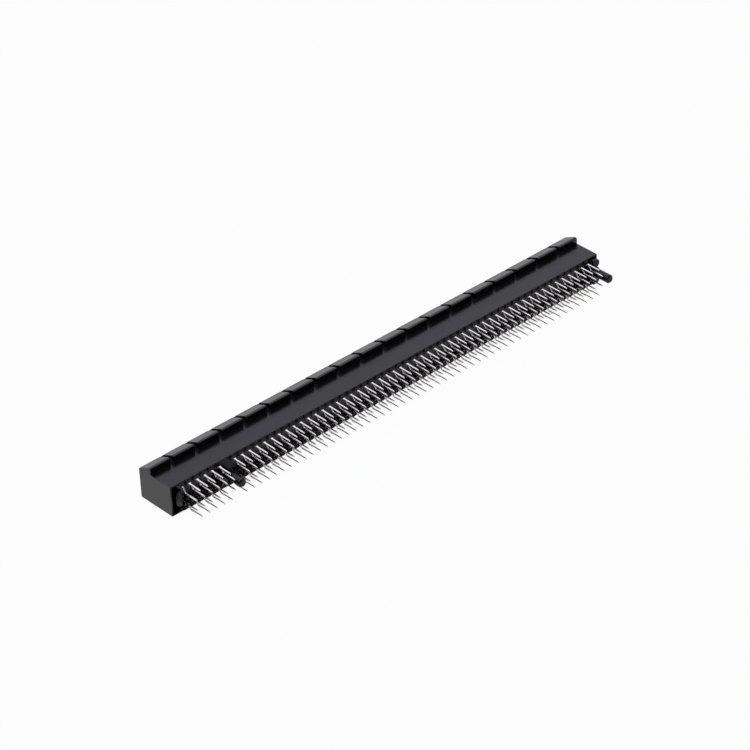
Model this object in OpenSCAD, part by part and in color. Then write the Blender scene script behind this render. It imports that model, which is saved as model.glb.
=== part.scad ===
// Card edge connector for a circuit board, laid on its long side.
// It has one moulded housing and two facing rows of sprung contacts.
// The modules draw it as it stands on a board, with Z = 0 on the board and the card entering from above.
// The last module then lays it on its plain side, with the tails towards -Y.

/* [Contact rows] */
// Number of contact positions on each side of the card
contact_count = 115; // [20:1:140]
// Number of positions before the key
key_after = 11; // [3:1:18]
// Distance from one contact to the next
pitch = 1.0; // [0.9:0.05:1.4]
// Distance across the key, from the last contact before it to the first after it
key_gap = 3.0; // [2.9:0.1:4]
// Distance from an outermost contact to the end face
end_margin = 3.0; // [2.9:0.1:5]

/* [Housing] */
// Width across the two long walls
body_width = 7.25; // [7.1:0.05:9]
// Height from the board edge of the walls to the mating face
body_height = 9.9; // [9.4:0.1:12]
// Height of the standoffs that hold the walls off the board
seat_height = 1.0; // [0.7:0.1:1.6]
// Thickness of a long wall beside the recess on the board side
side_wall = 0.875; // [0.6:0.025:1]
// Thickness of the end walls beside the recess
end_wall = 0.3; // [0.25:0.05:0.6]
// Depth of the recess that the tails leave from
recess_depth = 1.75; // [1.4:0.05:2]
// Thickness of the floor between recess and card slot
slot_floor = 0.55; // [0.4:0.05:0.8]
// Size of the bevel round the mating face
face_bevel = 0.15; // [0:0.05:0.4]

/* [Card slot] */
// Thickness of the card that enters
card_thickness = 1.57; // [1.2:0.01:1.7]
// Play of the card in the slot's width
card_play = 0.18; // [0.1:0.01:0.25]
// Distance from the slot's end to the end face
slot_end_wall = 1.825; // [1.5:0.025:2]
// Thickness of the key bar that enters the card's notch
key_bar = 1.75; // [1.4:0.05:2]
// Size of the lead-in bevel along the slot's mouth
lead_in = 0.4; // [0.2:0.05:0.5]
// Height of the lip that covers the contact tips
lip_height = 1.0; // [0.8:0.05:1.1]
// Depth of the notch that each contact has in the lip
lip_notch = 0.7; // [0.6:0.05:0.9]

/* [Ridge] */
// Height of the wedge ridge above the upper wall
ridge_height = 1.47; // [0.5:0.01:2]
// Distance from the mating face to the ridge's step
ridge_reach = 3.75; // [2.5:0.05:5]
// Width of the flat top beside the step
ridge_flat = 0.65; // [0.5:0.05:1.2]
// Height of the ramp's foot at the mating face
ridge_foot = 0.08; // [0.05:0.01:0.3]
// Radius of the top edge over the step
ridge_edge_radius = 0.2; // [0.05:0.01:0.4]
// Radius where the ramp meets the flat top
ridge_blend_radius = 0.8; // [0.5:0.1:2]
// Width of each gap in the ridge
ridge_gap = 0.9; // [0.4:0.05:1.5]
// Distance from one gap to the next
ridge_pitch = 6.5; // [4:0.25:10]
// Least length of the ridge outside the last gap
ridge_end_least = 4.0; // [2:0.25:6]

/* [Board side] */
// Height of the teeth on the board edge of the walls
tooth_height = 0.3; // [0.2:0.05:0.6]
// Width of each tooth
tooth_width = 0.95; // [0.4:0.05:1.1]
// Distance from an outer tail's middle to the near side of its tooth
tooth_shift = 0; // [0:0.05:0.3]
// How far the teeth stand back from the wall's outside
tooth_inset = 0.05; // [0.05:0.05:0.3]
// Bevel on the outer edge of each tooth
tooth_bevel = 0.15; // [0.05:0.05:0.25]
// Width of the bridge across the recess at the key
bridge_width = 2.1; // [2.05:0.05:2.2]
// Length of the pocket that widens the recess at each end
pocket_length = 2.1; // [1.9:0.05:2.2]
// Thickness of a long wall beside the pocket
pocket_wall = 0.35; // [0.25:0.05:0.6]
// Distance across both pads of the standoff at the long run's end
standoff_width = 6.2; // [5.4:0.1:6.4]
// Width of each of those pads
pad_width = 2.0; // [1.9:0.05:2.3]
// Length of the standoff along the housing
standoff_length = 1.8; // [1.4:0.05:1.9]
// Distance from the end face to the standoff
standoff_offset = 0.2; // [0.1:0.05:0.25]
// Radius of the outward corners of the pads
pad_radius = 0.95; // [0.4:0.05:1]
// Width of the rounded boss at the short run's end
boss_width = 3.8; // [3.4:0.1:4.4]
// Length of that boss along the housing
boss_length = 1.5; // [1:0.05:1.6]
// Distance from the end face to the boss
boss_offset = 1.05; // [0.8:0.05:1.2]
// How far the boss stands out of the walls' board edge
boss_drop = 0.4; // [0.1:0.05:0.6]
// Radius of the boss's outward corners
boss_radius = 1.2; // [0.5:0.05:1.3]
// Diameter of the two locating pegs
peg_diameter = 2.0; // [1.6:0.05:2]
// Length of the pegs below the board's face
peg_reach = 4.5; // [2.5:0.1:5]
// Bevel at the tip of a peg
peg_bevel = 0.3; // [0.1:0.05:0.6]
// Distance from the last contact to the end peg
end_peg_offset = 1.65; // [1.6:0.05:1.8]
// Collar between the pads that ties the end peg to them and to the end wall
peg_collar = 0.2; // [0.15:0.05:0.25]

/* [Contacts] */
// Thickness of the contact strip
strip = 0.22; // [0.15:0.01:0.3]
// Width of a tail
tail_width = 0.38; // [0.3:0.02:0.5]
// Length of the tails below the board's face
tail_reach = 3.7; // [2.4:0.1:4]
// Length of the taper at a tail's tip
tail_taper = 0.5; // [0.2:0.05:0.8]
// Width left at a tail's tip
tail_tip = 0.2; // [0.1:0.02:0.28]
// Distance from the middle of the part to the outer tail rows
outer_row = 3.25; // [3:0.05:3.3]
// Distance from the middle of the part to the inner tail rows
inner_row = 1.25; // [1.1:0.05:1.6]
// Height of the board end of the bends between shank and tail
bend_low = -0.08; // [-0.4:0.02:0]
// Height of the housing end of the bends between shank and tail
bend_high = 0.7; // [0.6:0.05:0.9]
// Radius of the bends along the strip's middle
bend_radius = 0.35; // [0.25:0.05:0.45]
// Width of the shank that is pressed into the wall
shank_width = 0.7; // [0.6:0.02:0.74]
// How far the shank's shoulder stands out of the slots
shoulder = 0.4; // [0.2:0.05:0.8]
// Length of the shank inside the housing
shank_length = 2.3; // [1.6:0.05:2.6]
// Length of the barb on each edge of the shank
barb_length = 0.4; // [0.2:0.05:0.6]
// Width of the spring where it leaves the shank
spring_width = 0.46; // [0.34:0.02:0.5]
// Width of the spring at its tip
spring_tip = 0.34; // [0.3:0.02:0.4]
// Gap between facing springs with no card in the slot
spring_gap = 1.1; // [0.8:0.05:1.4]
// Depth of the touching line below the mating face
touch_depth = 2.6; // [2.2:0.1:3]
// Depth of the spring's tip below the mating face
tip_depth = 1.3; // [1.15:0.05:1.6]
// How far the spring's tip turns back from the touching line
tip_turn = 0.6; // [0.3:0.05:0.65]
// Radius of the spring's touching bend
touch_radius = 0.5; // [0.3:0.05:0.7]
// Radius of the spring's root bend
root_radius = 0.8; // [0.5:0.1:1.2]

/* [Fits] */
// Free space on each side of a spring in its cavity
spring_play = 0.05; // [0.03:0.01:0.08]
// Free space on each side of a shank in its groove, which the barbs fill
shank_play = 0.02; // [0.01:0.005:0.04]
// Free space before and behind the shank
back_play = 0.025; // [0.01:0.005:0.05]

/* [Hidden] */
body_length = 2 * end_margin + (contact_count - 2) * pitch + key_gap;
half_length = body_length / 2;
half_width = body_width / 2;
wall_edge = seat_height;
mating_face = wall_edge + body_height;
recess_top = wall_edge + recess_depth;
slot_bottom = recess_top + slot_floor;
recess_half = half_width - side_wall;

slot_half = (card_thickness + card_play) / 2;
slot_end = half_length - slot_end_wall;
first_x = -half_length + end_margin;
last_x = half_length - end_margin;
key_x = first_x + (key_after - 1) * pitch + key_gap / 2;
end_peg_x = last_x + end_peg_offset;

// The shank's back seats against the far side of its cavity, a small land inside the recess wall
back_land = 0.25;
// Free way past the slot's floor for each shank and its tail
tail_way = 0.6;
cavity_back = recess_half - back_land;
shank_line = cavity_back - back_play - strip / 2;
groove_front = shank_line - strip / 2 - back_play;
cavity_half = spring_width / 2 + spring_play;
groove_half = shank_width / 2 + shank_play;
lip_back = slot_half + lip_notch;
floor_half = groove_front - tail_way;

touch_line = (spring_gap + strip) / 2;
shank_top = recess_top + shank_length;
width_change = 0.15;
corner_steps = 4;
pad_steps = 6;
// Largest share of a pad's width that one rounded corner takes
corner_share = 0.48;
overlap = 0.2;
round_steps = 48;

function position_x(i) = first_x + i * pitch + (i >= key_after ? key_gap - pitch : 0);
function is_outer(i) = i % 2 == 1;
outer_positions = [for (i = [0 : contact_count - 1]) if (is_outer(i)) position_x(i)];

// Contacts share a node in twos along the row, and a pair never spans the key
pairs_before = ceil(key_after / 2);
pairs_after = ceil((contact_count - key_after) / 2);
pair_count = pairs_before + pairs_after;
function pair_first(p) = p < pairs_before ? 2 * p : key_after + 2 * (p - pairs_before);
function pair_last(p) = min(pair_first(p) + 1, (p < pairs_before ? key_after : contact_count) - 1);
function digits(n) = str(n < 100 ? "0" : "", n < 10 ? "0" : "", n);
function pair_name(p) = pair_first(p) == pair_last(p)
    ? str("contacts_", digits(pair_first(p) + 1))
    : str("contacts_", digits(pair_first(p) + 1), "_", digits(pair_last(p) + 1));

// Plane geometry for rounded outlines and bent strips
function unit(v) = v / norm(v);
function left_of(v) = [-v[1], v[0]];
function turned(v, a) = [v[0] * cos(a) - v[1] * sin(a), v[0] * sin(a) + v[1] * cos(a)];
function turn_angle(a, b) = atan2(a[0] * b[1] - a[1] * b[0], a[0] * b[0] + a[1] * b[1]);

// Points of the arc that a path takes round one corner, at a sideways distance
function bend_points(before, corner, after, radius, aside, steps) =
    let (a = unit(corner - before),
         b = unit(after - corner),
         turn = turn_angle(a, b),
         s = sign(turn),
         start = corner - a * radius * tan(abs(turn) / 2),
         centre = start + left_of(a) * s * radius)
    [for (k = [0 : steps]) centre - turned(left_of(a), turn * k / steps) * (s * radius - aside)];

// A whole path at a sideways distance, square at both ends
function path_beside(path, radii, steps, aside) =
    let (last = len(path) - 1,
         a = unit(path[1] - path[0]),
         b = unit(path[last] - path[last - 1]))
    concat(
        [path[0] + left_of(a) * aside],
        [for (i = [1 : last - 1],
              q = bend_points(path[i - 1], path[i], path[i + 1], radii[i], aside, steps[i])) q],
        [path[last] + left_of(b) * aside]);

function reversed(list) = [for (i = [len(list) - 1 : -1 : 0]) list[i]];
function strip_outline(path, radii, steps) =
    concat(path_beside(path, radii, steps, strip / 2), reversed(path_beside(path, radii, steps, -strip / 2)));
function mirrored_outline(half) = concat(half, reversed([for (q = half) [-q[0], q[1]]]));

// Draws an outline in the plane across the housing and pulls it out along the housing
module along_length(from, to) {
    translate([from, 0, 0]) rotate([90, 0, 90]) linear_extrude(to - from) children();
}

// Housing

// Both long walls, the ends and everything between them, before any cavity is cut
module body_block() {
    along_length(-half_length, half_length)
        polygon(mirrored_outline([
            [half_width, wall_edge],
            [half_width, mating_face - face_bevel],
            [half_width - face_bevel, mating_face]]));
}

// The ridge's section: a ramp from the mating face, a flat top and a step that faces the board
module ridge_section() {
    top = half_width + ridge_height;
    step = mating_face - ridge_reach;
    root = half_width - face_bevel - overlap;
    path = [
        [-root, step],
        [-top, step],
        [-top, step + ridge_flat],
        [-(half_width + ridge_foot), mating_face - face_bevel],
        [-(half_width - face_bevel), mating_face],
        [-root, mating_face]];
    polygon(concat(
        [path[0]],
        bend_points(path[0], path[1], path[2], ridge_edge_radius, 0, corner_steps),
        bend_points(path[1], path[2], path[3], ridge_blend_radius, 0, corner_steps),
        [path[3], path[4], path[5]]));
}

// The ridge runs the whole length and is parted by narrow gaps
module ridge() {
    gaps = floor((body_length - 2 * ridge_end_least) / ridge_pitch) + 1;
    first_gap = -(gaps - 1) * ridge_pitch / 2;
    for (k = [0 : gaps]) {
        from = k == 0 ? -half_length : first_gap + (k - 1) * ridge_pitch + ridge_gap / 2;
        to = k == gaps ? half_length : first_gap + k * ridge_pitch - ridge_gap / 2;
        along_length(from, to) ridge_section();
    }
}

// One side of a comb of cavities: a wide groove at the back for the shank, or none where groove is false
function comb_side(xs, from, to, back, groove) = concat(
    [[from, slot_half]],
    [for (x = xs, q = groove
        ? [[x - cavity_half, slot_half], [x - cavity_half, groove_front],
           [x - groove_half, groove_front], [x - groove_half, back],
           [x + groove_half, back], [x + groove_half, groove_front],
           [x + cavity_half, groove_front], [x + cavity_half, slot_half]]
        : [[x - cavity_half, slot_half], [x - cavity_half, back],
           [x + cavity_half, back], [x + cavity_half, slot_half]]) q],
    [[to, slot_half]]);

// The card slot with the cavities that open into it, for one run of positions
module slot_comb(xs, from, to, back, groove) {
    side = comb_side(xs, from, to, back, groove);
    polygon(concat(side, reversed([for (q = side) [q[0], -q[1]]])));
}

// The two runs of the slot on either side of the key bar
module both_runs(back, groove) {
    before = [for (i = [0 : key_after - 1]) position_x(i)];
    after = [for (i = [key_after : contact_count - 1]) position_x(i)];
    slot_comb(before, -slot_end, key_x - key_bar / 2, back, groove);
    slot_comb(after, key_x + key_bar / 2, slot_end, back, groove);
}

module card_slot() {
    lip_bottom = mating_face - lip_height;
    translate([0, 0, recess_top]) linear_extrude(lip_bottom - recess_top) both_runs(cavity_back, true);
    translate([0, 0, lip_bottom]) linear_extrude(lip_height + overlap) both_runs(lip_back, false);
}

// The bevel that leads the card into the slot
module slot_lead_in() {
    mouth = slot_half + lead_in;
    along_length(-slot_end - lead_in, slot_end + lead_in)
        polygon([
            [-slot_half, mating_face - lead_in],
            [slot_half, mating_face - lead_in],
            [mouth, mating_face],
            [mouth, mating_face + overlap],
            [-mouth, mating_face + overlap],
            [-mouth, mating_face]]);
}

// The open recess on the board side, on either side of the bridge at the key, with a wider pocket at each end
module board_recess() {
    to = half_length - end_wall;
    pocket_half = half_width - pocket_wall;
    for (run = [[-to, key_x - bridge_width / 2], [key_x + bridge_width / 2, to]])
        translate([run[0], -recess_half, wall_edge - overlap])
            cube([run[1] - run[0], 2 * recess_half, recess_depth + overlap]);
    for (from = [-to, to - pocket_length])
        translate([from, -pocket_half, wall_edge - overlap])
            cube([pocket_length, 2 * pocket_half, recess_depth + overlap]);
}

// The floor under the card slot, which leaves a hole at each shank
module slot_floor_web() {
    translate([-slot_end - overlap, -floor_half, recess_top])
        cube([2 * (slot_end + overlap), 2 * floor_half, slot_floor]);
}

// Teeth on the board edge of the +Y wall, one beside each outer tail
module wall_teeth(shift) {
    outside = half_width - tooth_inset;
    low = wall_edge - tooth_height;
    from = outer_positions[0] + shift;
    to = outer_positions[len(outer_positions) - 1] + shift + tooth_width;
    intersection() {
        along_length(from, to)
            polygon([
                [recess_half, low],
                [outside - tooth_bevel, low],
                [outside, low + tooth_bevel],
                [outside, wall_edge + overlap],
                [recess_half, wall_edge + overlap]]);
        translate([0, half_width, 0]) rotate([90, 0, 0]) linear_extrude(side_wall)
            polygon(concat(
                [[from, wall_edge + overlap]],
                [for (x = outer_positions, q = [
                    [x + shift, wall_edge],
                    [x + shift, low],
                    [x + shift + tooth_width, low],
                    [x + shift + tooth_width, wall_edge]]) q],
                [[to, wall_edge + overlap]]));
    }
}

// A pad drawn at the long run's end, flat towards the contacts and rounded outward, from a height into the housing
module rounded_pad(offset, length, low, high, fillet, height) {
    outer = half_length - offset;
    radius = min(fillet, corner_share * (high - low));
    corners = [[outer - length, low], [outer, low], [outer, high], [outer - length, high]];
    translate([0, 0, height]) linear_extrude(recess_top + overlap - height)
        polygon(concat(
            [corners[0]],
            bend_points(corners[0], corners[1], corners[2], radius, 0, pad_steps),
            bend_points(corners[1], corners[2], corners[3], radius, 0, pad_steps),
            [corners[3]]));
}

// The standoff at the long run's end: two pads, and a collar between them that carries the end peg
module end_standoff() {
    high = standoff_width / 2;
    for (side = [0, 1])
        mirror([0, side, 0])
            rounded_pad(standoff_offset, standoff_length, high - pad_width, high, pad_radius, 0);
    translate([end_peg_x, 0, 0])
        cylinder(h = recess_top + overlap, r = peg_diameter / 2 + peg_collar, $fn = round_steps);
}

// The boss at the short run's end, which stays clear of the board
module end_boss() {
    mirror([1, 0, 0])
        rounded_pad(boss_offset, boss_length, -boss_width / 2, boss_width / 2, boss_radius, wall_edge - boss_drop);
}

// A locating peg with a bevelled tip, from the given height down
module peg(x, top) {
    r = peg_diameter / 2;
    translate([x, 0, -peg_reach]) {
        cylinder(h = peg_bevel, r1 = r - peg_bevel, r2 = r, $fn = round_steps);
        translate([0, 0, peg_bevel]) cylinder(h = peg_reach - peg_bevel + top, r = r, $fn = round_steps);
    }
}

module housing() {
    color([0.16, 0.16, 0.17]) {
        difference() {
            union() {
                difference() {
                    body_block();
                    board_recess();
                    card_slot();
                }
                slot_floor_web();
            }
            slot_lead_in();
        }
        ridge();
        mirror([0, 1, 0]) wall_teeth(tooth_shift);
        wall_teeth(-tooth_shift - tooth_width);
        end_standoff();
        end_boss();
        peg(key_x, wall_edge + overlap);
        peg(end_peg_x, overlap);
    }
}

// Contacts

// The strip's middle line from the tail's tip to the spring's tip, as distance from the middle and height
function contact_path(tail_line) = [
    [tail_line, -tail_reach],
    [tail_line, bend_low],
    [shank_line, bend_high],
    [shank_line, shank_top],
    [touch_line, mating_face - touch_depth],
    [touch_line + tip_turn, mating_face - tip_depth]];
contact_radii = [0, bend_radius, bend_radius, root_radius, touch_radius, 0];
contact_steps = [0, 2, 2, 2, 3, 0];

// Half the strip's width along its height: tail, shoulder, barbed shank and tapered spring
function blank_half() =
    let (low = recess_top - shoulder,
         barb_half = shank_width / 2 + shank_play)
    [
        [tail_tip / 2, -tail_reach - overlap],
        [tail_tip / 2, -tail_reach],
        [tail_width / 2, -tail_reach + tail_taper],
        [tail_width / 2, low - width_change],
        [shank_width / 2, low],
        [shank_width / 2, shank_top - width_change - barb_length],
        [barb_half, shank_top - width_change - barb_length / 2],
        [barb_half, shank_top - width_change],
        [spring_width / 2, shank_top],
        [spring_tip / 2, mating_face - tip_depth],
        [spring_tip / 2, mating_face]
    ];

// One bent contact, cut from strip, standing on the +Y side
module contact(outer) {
    tail_line = outer ? outer_row : inner_row;
    intersection() {
        rotate([90, 0, 90]) linear_extrude(shank_width + 2 * shank_play, center = true)
            polygon(strip_outline(contact_path(tail_line), contact_radii, contact_steps));
        rotate([90, 0, 0]) linear_extrude(2 * body_width, center = true)
            polygon(mirrored_outline(blank_half()));
    }
}

// The facing contacts of one pair of positions
module contact_pair(p) {
    color([0.82, 0.81, 0.78])
        for (i = [pair_first(p) : pair_last(p)], side = [0, 1])
            translate([position_x(i), 0, 0]) mirror([0, side, 0]) contact(is_outer(i));
}

// Lays the standing part on its plain side, with the origin under the middle of its box
module laid_down() {
    middle = (mating_face - peg_reach) / 2;
    translate([0, -middle, half_width]) rotate([-90, 0, 0]) children();
}

laid_down() housing();
for (p = [0 : pair_count - 1])
    laid_down() contact_pair(p);
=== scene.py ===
"""Card edge connector on its plain long side: a dark moulded housing and two facing rows of bent contacts."""
from math import cos, radians, sin

import bpy
import numpy as np
from mathutils import Matrix


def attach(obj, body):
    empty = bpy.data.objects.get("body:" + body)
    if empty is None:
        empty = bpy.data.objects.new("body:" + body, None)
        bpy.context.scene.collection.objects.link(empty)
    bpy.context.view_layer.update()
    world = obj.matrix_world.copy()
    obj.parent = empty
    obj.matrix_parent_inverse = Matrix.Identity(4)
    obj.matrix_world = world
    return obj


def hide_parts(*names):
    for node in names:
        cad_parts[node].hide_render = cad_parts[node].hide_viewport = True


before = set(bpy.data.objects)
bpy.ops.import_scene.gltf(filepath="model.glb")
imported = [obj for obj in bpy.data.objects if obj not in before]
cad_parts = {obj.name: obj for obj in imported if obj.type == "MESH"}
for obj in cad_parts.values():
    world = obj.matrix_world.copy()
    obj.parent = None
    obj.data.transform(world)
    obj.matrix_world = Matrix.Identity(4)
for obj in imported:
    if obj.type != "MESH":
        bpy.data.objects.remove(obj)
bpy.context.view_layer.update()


# Housing
# One long moulding in dark glass-filled plastic, with a semi-gloss skin and small rounds on every edge.
# The ridge, the standoffs and both pegs are part of it.

class Wire:
    """One output in a tree of nodes. A sum or a product of wires adds the Math node that works it out."""

    def __init__(self, tree, socket=None):
        self.tree, self.socket = tree, socket

    def node(self, kind, settings=None, inputs=None, output=0):
        """Adds a node of this kind, with its settings first and then the values or wires of its sockets.

        A socket goes by its name, or by its number where others of the node share the name.
        """
        made = self.tree.nodes.new(kind)
        for name, value in (settings or {}).items():
            setattr(made, name, value)
        for name, value in (inputs or {}).items():
            if isinstance(value, Wire):
                self.tree.links.new(value.socket, made.inputs[name])
            else:
                made.inputs[name].default_value = value
        return Wire(self.tree, made.outputs[output])

    def maths(self, operation, other):
        """The result of one operation on this wire and another wire or number."""
        return self.node("ShaderNodeMath", {"operation": operation}, {0: self, 1: other})

    def __add__(self, other):
        return self.maths("ADD", other)

    def __mul__(self, other):
        return self.maths("MULTIPLY", other)

    __radd__ = __add__
    __rmul__ = __mul__

    def steps(self, stops):
        """The value that goes in straight lines through the stops, pairs of this wire's value and the result.

        It is the first result plus, for each two neighbouring stops, the rise between them times the share of
        their span that this wire has passed.
        """
        total = stops[0][1]
        for (start, low), (end, high) in zip(stops, stops[1:]):
            total = total + self.node("ShaderNodeMapRange", inputs={
                "Value": self, "From Min": start, "From Max": end, "To Min": 0.0, "To Max": high - low})
        return total

    def blend(self, low, high):
        """The colour that goes from low to high as this wire goes from 0 to 1."""
        factor, first, second, mixed = 0, 6, 7, 2
        return self.node("ShaderNodeMix", {"data_type": "RGBA"},
                         {factor: self, first: low, second: high}, output=mixed)


def finish_material(name):
    """A new material, its Principled shader's node and a wire to add nodes with."""
    material = bpy.data.materials.new(name)
    material.use_nodes = True
    tree = material.node_tree
    return material, tree.nodes["Principled BSDF"], Wire(tree)


def connect(node, **sources):
    """Links wires to a node's sockets, whose names have an underscore for each space."""
    for name, wire in sources.items():
        wire.tree.links.new(wire.socket, node.inputs[name.replace("_", " ")])


def moulded_plastic():
    """Dark plastic: faint clouds from the melt's flow, fine grain from the tool, small rounds on the edges.

    The clouds blend two near blacks. Roughness is a base plus a share of the clouds and a share of the grain.
    """
    edge_round, grain_depth = 0.00007, 0.00001
    darker, paler = (0.0034, 0.0032, 0.0037, 1.0), (0.0056, 0.0053, 0.0060, 1.0)
    material, shader, wiring = finish_material("moulded_plastic")
    place = wiring.node("ShaderNodeTexCoord", output="Object")
    along = wiring.node("ShaderNodeMapping", inputs={"Vector": place, "Scale": (60.0, 260.0, 260.0)})
    clouds = wiring.node("ShaderNodeTexNoise", inputs={
        "Vector": along, "Scale": 1.0, "Detail": 4.0, "Roughness": 0.6})
    grain = wiring.node("ShaderNodeTexNoise", inputs={
        "Vector": place, "Scale": 9000.0, "Detail": 3.0, "Roughness": 0.7})
    rounds = wiring.node("ShaderNodeBevel", {"samples": 4}, {"Radius": edge_round})
    bump = wiring.node("ShaderNodeBump", inputs={
        "Strength": 0.25, "Distance": grain_depth, "Height": grain, "Normal": rounds})
    roughness = 0.19 + 0.06 * clouds + 0.03 * grain
    connect(shader, Base_Color=clouds.blend(darker, paler), Roughness=roughness, Normal=bump)
    shader.inputs["IOR"].default_value = 1.46
    return material


def skin(node, material):
    """Gives a CAD node's object one material."""
    node.data.materials.clear()
    node.data.materials.append(material)


skin(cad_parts["housing"], moulded_plastic())


# Contacts
# Each one is a strip of copper alloy, stamped, bent and plated, with bright tin on its tail and gold where
# it touches the card. Its shank is pressed into the housing, and its tail goes into the circuit board.

def plated_strip():
    """Tin with faint drawing lines along the strip, and gold from the middle of the spring to its tip.

    The lines blend two tins, and a blend by the depth from the tails goes over to gold. Roughness is a base
    plus a share of the lines.
    """
    dull_tin, bright_tin = (0.95, 0.935, 0.91, 1.0), (1.0, 0.985, 0.96, 1.0)
    gold, gold_start, gold_full = (0.94, 0.70, 0.30, 1.0), 0.0034, 0.0037
    material, shader, wiring = finish_material("plated_strip")
    place = wiring.node("ShaderNodeTexCoord", output="Object")
    drawn = wiring.node("ShaderNodeMapping", inputs={"Vector": place, "Scale": (9000.0, 500.0, 2500.0)})
    lines = wiring.node("ShaderNodeTexNoise", inputs={
        "Vector": drawn, "Scale": 1.0, "Detail": 3.0, "Roughness": 0.55})
    depth = wiring.node("ShaderNodeSeparateXYZ", inputs={"Vector": place}, output="Y")
    gilt = depth.steps(((gold_start, 0.0), (gold_full, 1.0)))
    colour = gilt.blend(lines.blend(dull_tin, bright_tin), gold)
    connect(shader, Base_Color=colour, Roughness=0.24 + 0.1 * lines)
    shader.inputs["Metallic"].default_value = 1.0
    return material


def rounded_path(corners, radii, steps):
    """The path through the corners with an arc at each inner one, as points and the path's heading at each.

    An arc starts before its corner by the radius times the tangent of half the turn. Its points lie at the
    radius from its centre, at right angles to the heading there.
    """
    legs = np.diff(corners, axis=0)
    headings = np.arctan2(legs[:, 1], legs[:, 0])
    points, ways = [corners[:1]], [headings[:1]]
    for corner, heading, turn, radius in zip(corners[1:-1], headings, np.diff(headings), radii):
        way = heading + turn * np.linspace(0, 1, steps + 1)
        start = corner - radius * np.tan(abs(turn) / 2) * np.array([cos(heading), sin(heading)])
        spoke = np.sign(turn) * radius * np.stack([np.sin(way), -np.cos(way)], axis=1)
        points.append(start + spoke - spoke[0])
        ways.append(way)
    return np.vstack(points + [corners[-1:]]), np.concatenate(ways + [headings[-1:]])


def strip_corners(path, ways, widths, thickness):
    """Four corners at each station of a strip, as places along the row, off the card's middle and up.

    They lie half the width to either side along the row, and half the thickness off the path at right angles
    to its heading. The widths are pairs of a height and half the width there, with straight tapers between.
    """
    heights = np.unique(np.concatenate([path[:, 1], widths[:, 0]]))
    line = np.interp(heights, path[:, 1], path[:, 0])[:, None]
    way = np.interp(heights, path[:, 1], ways)[:, None]
    half = np.interp(heights, widths[:, 0], widths[:, 1])[:, None]
    off = thickness / 2 * np.array([1, 1, -1, -1])
    along = half * np.array([1, -1, -1, 1])
    return np.stack([along, line - off * np.sin(way), heights[:, None] + off * np.cos(way)], axis=2)


def strip_faces(stations):
    """Four quads between each two stations and one at each end. Corner c of station s is number 4 s + c."""
    ring = np.arange(4)
    low = 4 * np.arange(stations - 1)[:, None] + ring
    turned = 4 * np.arange(stations - 1)[:, None] + np.roll(ring, -1)
    sides = np.stack([low, low + 4, turned + 4, turned], axis=2).reshape(-1, 4)
    return np.vstack([sides, ring, ring[::-1] + 4 * (stations - 1)])


def new_piece(name, points, faces, material):
    """An object at the origin, with a mesh of these points and faces in one material."""
    mesh = bpy.data.meshes.new(name)
    mesh.from_pydata(points, [], faces)
    mesh.materials.append(material)
    piece = bpy.data.objects.new(name, mesh)
    bpy.context.scene.collection.objects.link(piece)
    return piece


def contact_rows():
    """All contacts in one mesh. Tails in the inner and the outer line take turns, alike on both sides.

    Each contact stands one pitch after the last, with the key's gap in the place of one pitch. Its path is
    drawn by heights above the board and distances from the card's middle. Stations close to the ends of the
    jog keep its smooth shading out of the straight tail and shank.
    """
    pitch, key_gap, before_key, count, first = 0.001, 0.003, 11, 115, -0.058
    board, middle, thickness = -0.0032, 0.003625, 0.0002
    tail_tip, taper_top, tail_root, jog_low = -0.0037, -0.0032, -0.00032, -0.00008
    jog_high, shank_foot, shoulder_low, shoulder_high = 0.0007, 0.00098, 0.0022, 0.00235
    shank_top, spring_root, touch_height, end_height = 0.0049, 0.00505, 0.0083, 0.0096
    inner_line, outer_line, shank_line, touch_line, end_line = 0.00125, 0.00325, 0.002365, 0.00066, 0.00126
    tip_half, tail_half, shank_half, spring_half, end_half = 0.00006, 0.00015, 0.00035, 0.00023, 0.00017
    jog_radius, root_radius, touch_radius = 0.00035, 0.0008, 0.0005
    widths = np.array([
        (tail_tip, tip_half), (taper_top, tail_half), (tail_root, tail_half), (shank_foot, tail_half),
        (shoulder_low, tail_half), (shoulder_high, shank_half), (shank_top, shank_half),
        (spring_root, spring_half), (end_height, end_half)])
    number = np.arange(count)
    places = first + number * pitch + (number >= before_key) * (key_gap - pitch)
    strips = []
    for parity, tail_line in ((0, inner_line), (1, outer_line)):
        path, ways = rounded_path(
            np.array([(tail_line, tail_tip), (tail_line, jog_low), (shank_line, jog_high),
                      (shank_line, spring_root), (touch_line, touch_height), (end_line, end_height)]),
            radii=(jog_radius, jog_radius, root_radius, touch_radius), steps=2)
        corners = strip_corners(path, ways, widths, thickness)
        shift = places[parity::2, None, None, None] * (1, 0, 0)
        strips += [corners[:, ::side] * (1, side, 1) + shift for side in (1, -1)]
    along, across, up = np.moveaxis(np.vstack(strips), -1, 0)
    points = np.stack([along, up + board, middle - across], axis=-1)
    total, stations = points.shape[:2]
    faces = strip_faces(stations) + 4 * stations * np.arange(total)[:, None, None]
    rows = new_piece("contact_rows", points.reshape(-1, 3), faces.reshape(-1, 4).tolist(), plated_strip())
    # A bend's facets meet at less than this angle and look round, and the strip's own edges stay sharp.
    rows.data.shade_smooth()
    rows.data.set_sharp_from_angle(angle=radians(40))
    return rows


rows = contact_rows()
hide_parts(*[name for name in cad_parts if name.startswith("contacts_")])
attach(rows, "root")


# Floor and light
# A white table in soft, slightly cool light that comes from behind and above. Camera rays see the table
# nearly unshaded, and the part's shadow stays. Mirror rays see it white too, with painted shade: darker in a
# band before the tails and in one at their roots, in place of the part's shadow on the table.

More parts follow.
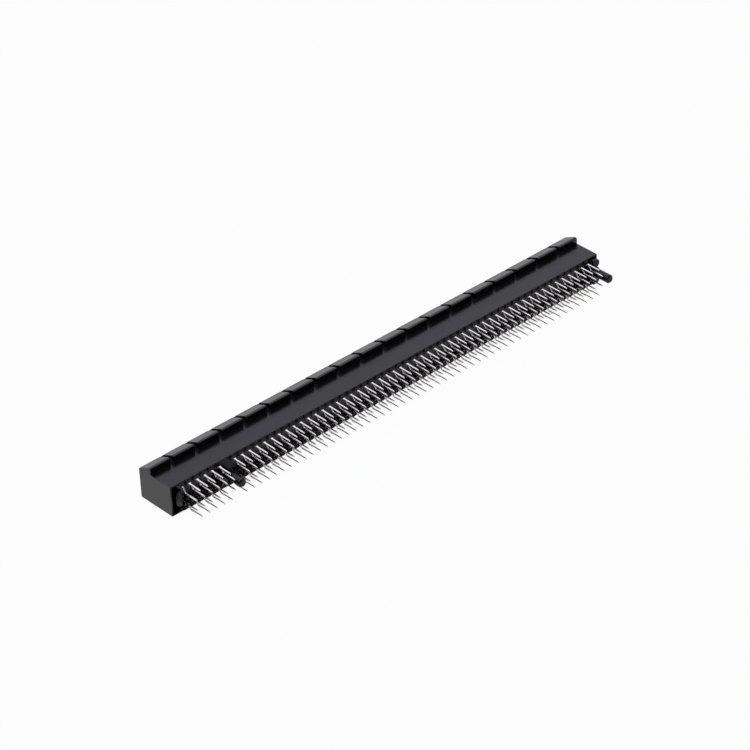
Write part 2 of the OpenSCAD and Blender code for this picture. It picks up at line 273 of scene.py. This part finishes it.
def table_white(camera_shading, painted_mirror_shade):
    """White that glows for camera and mirror rays, and plain white for all others.

    Camera rays see it with this share of the plain white, which takes light and shadow. Mirror rays see it in
    strips of painted shade along the part, standing in for the part's shadow, given as pairs of a place
    across the part and a strength.
    """
    factor, first, second = 0, 1, 2
    material, shader, wiring = finish_material("table_white")
    wiring.tree.nodes.remove(shader)
    direct = wiring.node("ShaderNodeLightPath", output="Is Camera Ray")
    mirrored = (wiring.node("ShaderNodeLightPath", output="Is Glossy Ray")
                + wiring.node("ShaderNodeLightPath", output="Is Transmission Ray"))
    place = wiring.node("ShaderNodeTexCoord", output="Object")
    depth = wiring.node("ShaderNodeSeparateXYZ", inputs={"Vector": place}, output="Y")
    strength = direct + mirrored * depth.steps(painted_mirror_shade)
    glowing = wiring.node("ShaderNodeEmission", inputs={"Color": (1.0, 1.0, 1.0, 1.0), "Strength": strength})
    shaded = wiring.node("ShaderNodeBsdfDiffuse", inputs={"Color": (0.95, 0.95, 0.95, 1.0)})
    share = direct * (1 - camera_shading) + mirrored
    surface = wiring.node("ShaderNodeMixShader", inputs={factor: share, first: shaded, second: glowing})
    connect(wiring.tree.nodes["Material Output"], Surface=surface)
    return material


def table_top(size, material):
    """A flat square, a hair below the part, so that no two faces share a plane."""
    half, level = size / 2, -0.00001
    corners = [(-half, -half, level), (half, -half, level), (half, half, level), (-half, half, level)]
    return new_piece("table_top", corners, [(0, 1, 2, 3)], material)


# Painted shade for mirror rays: the 0.3 and 0.35 bands darken the mirrored table at the tails' roots and
# before their tips, in place of the part's shadow there.
painted_mirror_shade = ((-0.0130, 0.8), (-0.0110, 0.35), (-0.0070, 0.35), (-0.0064, 1.0), (-0.0046, 1.0), (-0.0040, 0.3),
        (-0.0024, 0.3), (-0.0016, 0.93), (0.011, 0.93), (0.018, 0.75))
table = table_top(size=6.0, material=table_white(camera_shading=0.05, painted_mirror_shade=painted_mirror_shade))


def studio(front, back, edge, tint):
    """Even light of a slight tint, whose strength rises smoothly from front to back. Camera rays see white.

    The rise lies between two depths of the light's direction, which go from -1 in front to 1 at the back.
    """
    factor, first, second = 0, 2, 3
    world = bpy.data.worlds.new("studio")
    bpy.context.scene.world = world
    world.use_nodes = True
    wiring = Wire(world.node_tree)
    place = wiring.node("ShaderNodeTexCoord", output="Generated")
    depth = wiring.node("ShaderNodeSeparateXYZ", inputs={"Vector": place}, output="Y")
    light = wiring.node("ShaderNodeMapRange", {"interpolation_type": "SMOOTHSTEP"}, {
        "Value": depth, "From Min": edge[0], "From Max": edge[1], "To Min": front, "To Max": back})
    seen = wiring.node("ShaderNodeLightPath", output="Is Camera Ray")
    strength = wiring.node("ShaderNodeMix", {"data_type": "FLOAT"}, {factor: seen, first: light, second: 1.0})
    colour = seen.blend(tint, (1.0, 1.0, 1.0, 1.0))
    connect(world.node_tree.nodes["Background"], Strength=strength, Color=colour)


studio(front=0.12, back=0.93, edge=(-0.7, 0.1), tint=(1.0, 0.975, 1.09, 1.0))


# Camera
# A long lens three quarters of a metre from the part. It looks down on the board side from beyond the short
# run, slightly tilted, as the photograph was taken.

def camera(azimuth, elevation, roll, place, lens):
    """A camera at a place that looks along the azimuth and down by the elevation.

    Its right and up directions are the level and the upright one, turned about its line of sight by the roll.
    """
    heading, dip, tilt = radians(azimuth), radians(elevation), radians(roll)
    forward = np.array([sin(heading) * cos(dip), cos(heading) * cos(dip), -sin(dip)])
    level = np.array([cos(heading), -sin(heading), 0.0])
    right = cos(tilt) * level + sin(tilt) * np.cross(level, forward)
    up = np.cross(right, forward)
    made = bpy.data.objects.new("camera", bpy.data.cameras.new("camera"))
    bpy.context.scene.collection.objects.link(made)
    turn = Matrix((right, up, -forward)).transposed().to_4x4()
    made.matrix_world = Matrix.Translation(place) @ turn
    made.data.lens = lens
    made.data.sensor_width = 36.0
    made.data.clip_end = 20.0
    bpy.context.scene.camera = made


camera(azimuth=40.752, elevation=34.278, roll=-2.8385, place=(-0.40954, -0.47162, 0.42973), lens=171.478)

bpy.context.scene.view_settings.view_transform = "Standard"
